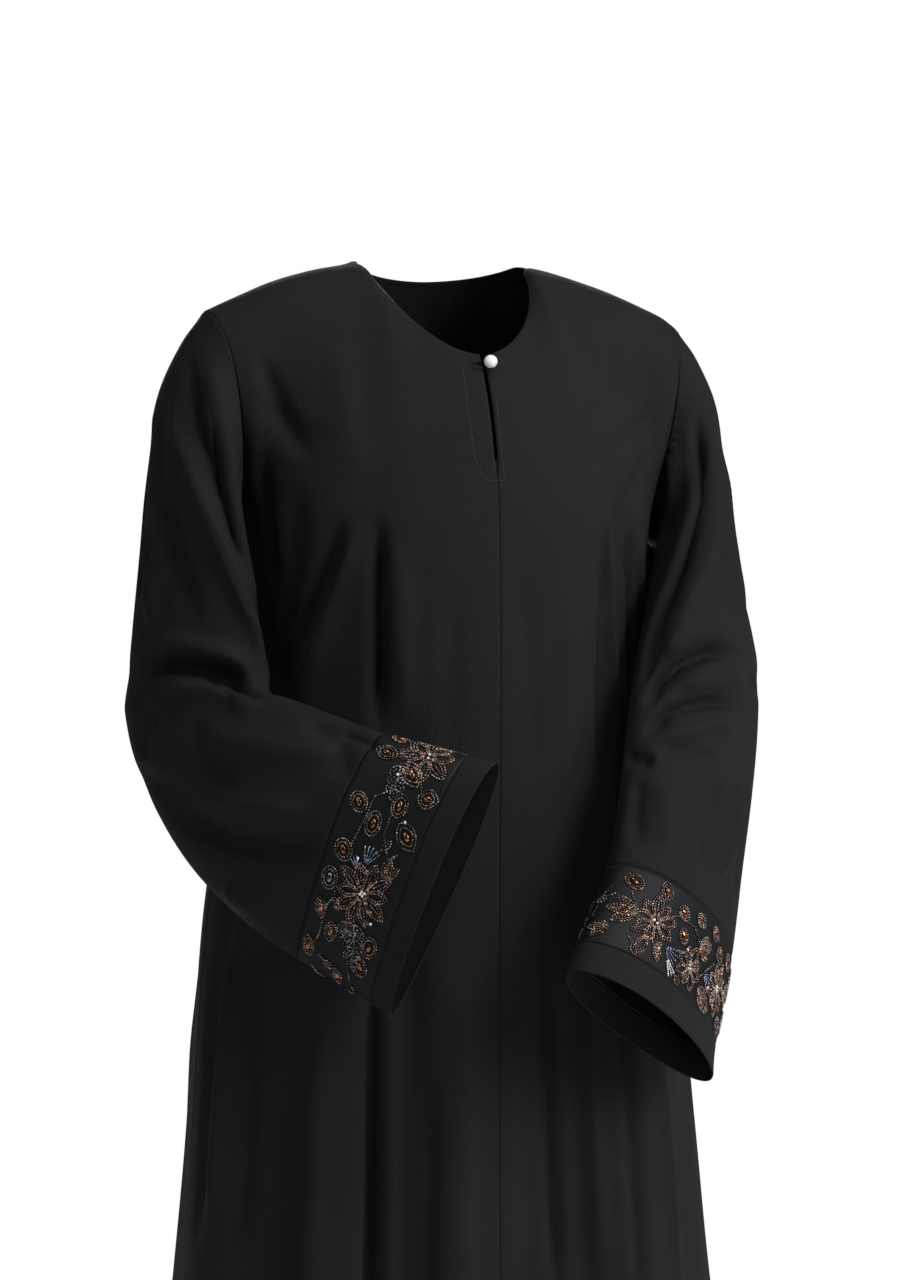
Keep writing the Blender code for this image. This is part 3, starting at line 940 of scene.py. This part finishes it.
def oval(x, y, length, width, angle, outer="gunmetal", inner="copper", stone="amber"):
    turns = [2 * pi * step / 18 for step in range(19)]
    ring = [(length / 2 * cos(turn), width / 2 * sin(turn)) for turn in turns]
    return ringedStone(ring, x, y, angle, 0.70, outer, inner, stone)


def pointedOval(x, y, length, width, angle, outer="gunmetal", inner="copper", stone="amber"):
    ring = [(px - length / 2, py) for px, py in leafOutline(length, width)]
    return ringedStone(ring, x, y, angle, 0.68, outer, inner, stone)


stemPitch = 2.45
# Shares of the stem's length, leaf widths, and the leaves' turn from the stem
twig = {"pairs": 3, "first": 0.15, "apart": 0.30, "leaf": 0.46, "leafWidth": 6.4, "turn": 0.80,
        "tip": 0.44, "tipWidth": 6.2}


def stem(points, colour="gunmetal"):
    return beadLine(points, "seed", colour, stemPitch)


def sprig(x, y, length, angle):
    # a short stem with pairs of filled leaves and one at the tip
    colour = "gunmetal"
    beads = stem(turnedPoints([(0, 0), (length * 0.5, 1.0), (length, 0)], x, y, angle), colour)
    for number in range(twig["pairs"]):
        along = length * (twig["first"] + twig["apart"] * number)
        root = turnedPoints([(along, 0)], x, y, angle)[0]
        for side in (-1, 1):
            way = angle + side * twig["turn"]
            beads += petal(root[0], root[1], length * twig["leaf"], twig["leafWidth"], way, colour, colour)
    tip = turnedPoints([(length, 0)], x, y, angle)[0]
    return beads + petal(tip[0], tip[1], length * twig["tip"], twig["tipWidth"], angle, colour, colour)


def leafGroup(x, y, length, angle, count=3, spread=0.62, rim="rose", fill="copper"):
    # filled leaves that open from one root
    beads = []
    for number in range(count):
        step = number - (count - 1) / 2
        beads += petal(x, y, length * (1 - 0.14 * abs(step)), 8.4, angle + step * spread, rim, fill)
    return beads


def bud(x, y, angle, colour="rose"):
    beads = petal(x, y, 10, 5.6, angle, colour, "copper")
    return beads + stem(turnedPoints([(-7, 1), (0, 0)], x, y, angle))


def fan(x, y, length, angle, colour="steelBlue", count=5):
    beads = []
    for number in range(count):
        way = angle + (number - (count - 1) / 2) * 0.24
        beads += beadLine([(x + 3 * cos(way), y + 3 * sin(way)),
                           (x + length * cos(way), y + length * sin(way))], "bugle", colour, 3.5)
    return beads


# The half of each band that faces the body carries a pattern like the shown ones
hiddenDesign = [
    flower(262, 44, 25, 9, 0.1, hearts=3),
    flower(372, 46, 26, 8, 0.5, hearts=4),
    oval(238, 20, 18, 13, 0.6),
    pointedOval(292, 18, 20, 13, 1.1),
    oval(300, 64, 18, 14, 0.4),
    oval(324, 22, 19, 14, 0.2),
    pointedOval(336, 62, 24, 14, 0.8),
    oval(408, 18, 18, 13, 1.0),
    pointedOval(420, 62, 20, 13, 0.3),
    sprig(300, 40, 26, 0.2),
    sprig(396, 44, 24, 0.2),
    fan(346, 40, 16, pi * 0.95),
    bud(280, 66, 0.5),
    bud(352, 20, 0.3),
    stem([(282, 30), (300, 32), (318, 36), (340, 44)]),
    stem([(230, 60), (240, 66), (250, 66)]),
    stem([(390, 66), (404, 68), (426, 40), (440, 36)]),
]

rightDesign = [
    flower(17, 52, 25, 8, 0.2, hearts=2),
    flower(137, 46, 27, 10, 0.45, hearts=4),
    oval(4, 19, 16, 13, 1.2),
    pointedOval(25, 17, 21, 13, 1.4),
    pointedOval(36, 47, 26, 15, 0.9, outer="rose"),
    oval(70, 15, 18, 14, 0.9),
    oval(62, 50, 19, 14, 0.2),
    pointedOval(50, 70, 18, 15, 1.7),
    oval(82, 34, 20, 14, 0.1),
    pointedOval(82, 66, 26, 16, 0.9),
    oval(110, 17, 19, 15, 0.8),
    oval(136, 13, 19, 15, 0.2, inner="gunmetal", stone="gunmetal"),
    pointedOval(163, 13, 18, 11, 0.4, stone="copper"),
    pointedOval(178, 28, 18, 12, 0.1, outer="rose", stone="copper"),
    oval(176, 67, 18, 15, 0.2),
    oval(195, 63, 18, 14, 0.9),
    pointedOval(200, 10, 20, 11, 0.3),
    pointedOval(214, 44, 16, 9, 0.4),
    sprig(30, 34, 22, 0.25),
    sprig(160, 46, 30, 0.30),
    leafGroup(164, 38, 18, 0.5, 3, 0.5, "gunmetal", "gunmetal"),
    fan(116, 40, 17, pi * 0.96),
    fan(122, 36, 15, pi * 1.22, "steelBlue", 3),
    leafGroup(118, 58, 17, pi * 0.83, 2, 0.7),
    bud(150, 24, 0.6),
    bud(98, 50, 2.6, "gunmetal"),
    bud(206, 28, 1.2),
    bud(222, 20, 0.8, "gunmetal"),
    bud(228, 58, 0.4),
    stem([(36, 40), (54, 36), (62, 26), (76, 26), (92, 24), (104, 22)]),
    stem([(68, 46), (88, 47), (104, 58), (98, 64)]),
    stem([(30, 52), (40, 58), (46, 62)]),
    stem([(4, 27), (14, 34), (24, 38)]),
    stem([(24, 27), (28, 34)]),
    stem([(-3, 30), (-4, 46), (-3, 60), (-1, 78)]),
    stem([(-6, 10), (-9, 18), (-7, 26)]),
    stem([(168, 52), (186, 48), (206, 54), (220, 62)]),
    stem([(150, 22), (158, 18), (186, 18), (196, 14)]),
    [(72, 60, 0, "dot", "silver"), (100, 62, 0, "dot", "steelBlue"), (157, 62, 0, "dot", "silver"),
     (40, 36, 0, "dot", "silver"), (112, 32, 0, "dot", "silver")],
    *hiddenDesign,
]

leftDesign = [
    flower(50, 42, 23, 9, 0.35, hearts=2),
    leafGroup(31, 44, 26, pi, 3, 0.55),
    leafGroup(12, 60, 18, pi * 0.8, 2, 0.6, "gunmetal", "copper"),
    petal(46, 58, 18, 10.5, 1.75),
    petal(58, 58, 16, 8.5, 1.15),
    oval(20, 15, 18, 13, 0.5, outer="copper"),
    oval(52, 11, 16, 12, 0.9),
    pointedOval(78, 20, 17, 12, 0.4),
    oval(86, 38, 14, 11, 0.9),
    fan(68, 56, 19, 0.35),
    fan(74, 64, 16, 0.75, "silver", 3),
    flower(106, 58, 19, 8, 0.2, hearts=3),
    leafGroup(112, 36, 20, -0.35, 3, 0.6),
    pointedOval(104, 14, 17, 11, 0.3),
    pointedOval(134, 12, 18, 11, 0.2),
    leafGroup(128, 66, 20, 0.4, 2, 0.7),
    fan(130, 52, 16, 0.1),
    flower(164, 50, 22, 9, 0.6, hearts=3),
    oval(152, 24, 16, 12, 0.6),
    pointedOval(178, 18, 19, 12, 0.5),
    oval(146, 74, 15, 10, 0.1),
    oval(188, 72, 17, 12, 0.2),
    leafGroup(184, 42, 20, 0.0, 3, 0.6),
    sprig(196, 58, 24, 0.2),
    flower(212, 26, 17, 8, 0.1, hearts=1),
    bud(36, 70, 0.9),
    bud(90, 74, 0.4, "gunmetal"),
    bud(4, 34, 2.6),
    bud(122, 26, 0.3, "gunmetal"),
    stem([(20, 24), (26, 34), (32, 42)]),
    stem([(52, 19), (52, 28)]),
    stem([(62, 34), (70, 26), (96, 24), (112, 34)]),
    stem([(78, 54), (94, 50), (100, 40)]),
    stem([(4, 22), (-2, 36), (-4, 56)]),
    stem([(124, 58), (136, 44), (146, 34)]),
    [(62, 62, 0, "dot", "silver"), (96, 46, 0, "dot", "silver"), (144, 58, 0, "dot", "silver")],
    *hiddenDesign,
]

# Points in metres on each band's two seams and on its outer face, and the design laid on it
bands = {
    "right": {"seamTop": (-0.122, -0.202, -0.409), "hemTop": (-0.063, -0.247, -0.428),
              "outer": (-0.184, -0.205, -0.505), "design": rightDesign},
    "left": {"seamTop": (0.077, -0.222, -0.519), "hemTop": (0.036, -0.252, -0.580),
             "outer": (0.158, -0.215, -0.580), "design": leftDesign},
}


def loopPoints(mesh, near):
    # the boundary loop that passes nearest a point, in order
    cloth = shapeFrom(mesh)
    rim = [vertex for vertex in cloth.verts if vertex.is_boundary]
    first = min(rim, key=lambda vertex: (vertex.co - near).length)
    loop = [first]
    came = None
    here = first
    while True:
        ways = [edge.other_vert(here) for edge in here.link_edges if edge.is_boundary]
        ahead = next(other for other in ways if other is not came)
        if ahead is first:
            break
        came = here
        here = ahead
        loop.append(here)
    points = [vertex.co.copy() for vertex in loop]
    cloth.free()
    return points


def shareOfLoop(points, share):
    lengths = [0]
    ring = points + [points[0]]
    for start, end in zip(ring, ring[1:]):
        lengths.append(lengths[-1] + (end - start).length)
    target = (share % 1) * lengths[-1]
    for index in range(len(points)):
        if lengths[index + 1] >= target:
            step = (target - lengths[index]) / max(lengths[index + 1] - lengths[index], 1e-9)
            return ring[index].lerp(ring[index + 1], step)
    return points[0]


def facePoints(points, outer):
    # runs the loop down the outer face first
    quarter = points[len(points) // 4]
    other = points[-len(points) // 4]
    if (quarter - outer).length > (other - outer).length:
        return [points[0]] + points[:0:-1]
    return points


# The band's flat size in millimetres, and how near its seams a bead may lie, as shares of the depth
bandCloth = {"round": 450, "deep": 80, "nearest": 0.015, "farthest": 0.985}
beadSeat = 0.8
aimStep = 1.5


def layBeads(word, spec):
    mesh = finished[f"cuff_band_{word}"].data
    cloth = shapeFrom(mesh)
    tree = BVHTree.FromBMesh(cloth)
    cloth.free()
    outer = Vector(spec["outer"])
    seam = facePoints(loopPoints(mesh, Vector(spec["seamTop"])), outer)
    hem = facePoints(loopPoints(mesh, Vector(spec["hemTop"])), outer)

    def lay(along, across):
        share = along / bandCloth["round"]
        depth = min(max(across / bandCloth["deep"], bandCloth["nearest"]), bandCloth["farthest"])
        return shareOfLoop(seam, share).lerp(shareOfLoop(hem, share), depth)

    groups = {}
    for along, across, angle, shape, colour in chain.from_iterable(spec["design"]):
        point = lay(along, across)
        place, normal, _, _ = tree.find_nearest(point)
        ahead = lay(along + aimStep * cos(angle), across + aimStep * sin(angle)) - point
        if ahead.length < 1e-7:
            continue
        lift = beadShapes[shape]["size"][2] / 2000 * beadSeat
        turned = surfaceFrame(place + normal * lift, normal, ahead)
        group = groups.setdefault(colour, bmesh.new())
        beadMeshes[shape].transform(turned)
        group.from_mesh(beadMeshes[shape])
        beadMeshes[shape].transform(turned.inverted())
    for colour, group in groups.items():
        name = f"{colour}_beads_{word}"
        for face in group.faces:
            face.smooth = len(face.verts) < 5
        print("  beads", name, len(group.faces))
        beads = meshFrom(group, name)
        thing = addObject(name, beads)
        beads.materials.append(beadMaterials[colour])
        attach(thing, "root")


for word, spec in bands.items():
    layBeads(word, spec)
print("beads laid")


for name, thing in finished.items():
    "cuff_satin" if "band" in name else "crepe"


# Floor, backdrop and light

floor = {"radius": 2.3, "segments": 96, "below": 0.001}
worldLight = 0.10
lights = {
    "key": {"size": (1.7, 1.8), "power": 122, "place": (1.7, -2.6, 1.1), "target": (0, 0, -0.5)},
    "side": {"size": (0.8, 1.6), "power": 30, "place": (2.7, -1.3, 0.5), "target": (0, 0, -0.5)},
    "fill": {"size": (1.0, 1.5), "power": 24, "place": (-2.9, -1.3, 0.7), "target": (0, 0, -0.6)},
    "above": {"size": (1.2, 1.2), "power": 34, "place": (0.1, -0.9, 2.2), "target": (0, 0, -0.4)},
    "behind": {"size": (1.6, 2.0), "power": 60, "place": (0.8, 3.0, 0.6), "target": (0, 0, -0.6)},
}


def addFloor():
    ground = bmesh.new()
    bmesh.ops.create_circle(ground, cap_ends=True, segments=floor["segments"], radius=floor["radius"])
    bmesh.ops.translate(ground, vec=(0, 0, cadBounds[0][2] - floor["below"]), verts=ground.verts)
    mesh = meshFrom(ground, "floor")
    thing = addObject("floor", mesh)
    material, _, shader = newMaterial("paleFloor")
    setSockets(shader, {"Base Color": (0.82, 0.82, 0.82, 1), "Roughness": 0.9})
    mesh.materials.append(material)


def addLight(name, spec):
    data = bpy.data.lights.new(name, "AREA")
    data.shape = "RECTANGLE"
    data.size = spec["size"][0]
    data.size_y = spec["size"][1]
    data.energy = spec["power"]
    thing = addObject(name, data)
    thing.location = spec["place"]
    aim = Vector(spec["target"]) - Vector(spec["place"])
    thing.rotation_euler = aim.to_track_quat("-Z", "Y").to_euler()


def addLights():
    world = bpy.context.scene.world or bpy.data.worlds.new("world")
    bpy.context.scene.world = world
    world.use_nodes = True
    # white to look at, dimmer as a light, so that the folds keep their shade
    background = world.node_tree.nodes["Background"]
    background.inputs["Color"].default_value = (1, 1, 1, 1)
    seen = world.node_tree.nodes.new("ShaderNodeLightPath").outputs["Is Camera Ray"]
    strength = world.node_tree.nodes.new("ShaderNodeMapRange")
    setSockets(strength, {"To Min": worldLight, "To Max": 1.0})
    world.node_tree.links.new(seen, strength.inputs["Value"])
    world.node_tree.links.new(strength.outputs["Result"], background.inputs["Strength"])
    for name, spec in lights.items():
        addLight(name, spec)


addFloor()
addLights()
bpy.context.scene.view_settings.view_transform = "Standard"
print("stage set")
